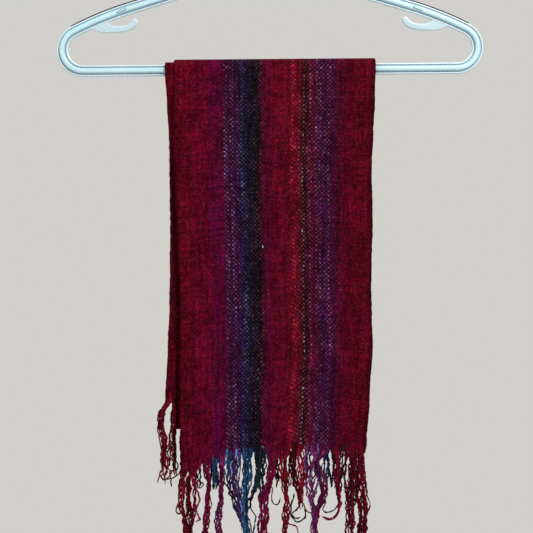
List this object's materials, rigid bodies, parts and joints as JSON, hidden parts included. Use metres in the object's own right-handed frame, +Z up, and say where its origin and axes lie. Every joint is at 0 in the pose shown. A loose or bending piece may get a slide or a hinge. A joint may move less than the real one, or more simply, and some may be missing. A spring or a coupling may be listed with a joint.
{
  "type": "chenille scarf on a plastic hanger",
  "caption": "Long woven chenille scarf with stripes and fringed ends, folded and hung flat over the bar of a tubular plastic hanger.",
  "frame": {"origin": "inside top of the hanger's hook, where a rail carries it", "axes": "+X to the right as the front is seen, +Y away from the front towards the back of the hang, +Z up"},
  "size_m": [0.42, 0.028, 0.7058],
  "materials": {
    "chenille": "soft chenille pile",
    "fringe": "loose crimped yarns",
    "hanger": "smooth pale plastic",
    "grip": "matt dark strip"
  },
  "bodies": {
    "root": {"bar": "hanger", "left_end": "hanger", "right_end": "hanger", "left_arm": "hanger", "right_arm": "hanger", "crown": "hanger", "neck_bar": "hanger", "hook_collar": "hanger", "hook_stem": "hanger", "hook_bend": "hanger", "left_strap_hook": "hanger", "right_strap_hook": "hanger", "left_grip_strip": "grip", "right_grip_strip": "grip", "outer_front": "chenille", "outer_over_bar": "chenille", "outer_back": "chenille", "bottom_fold": "chenille", "inner_back": "chenille", "inner_over_bar": "chenille", "inner_front": "chenille", "outer_fringe": "fringe", "inner_fringe": "fringe"}
  },
  "joints": []
}
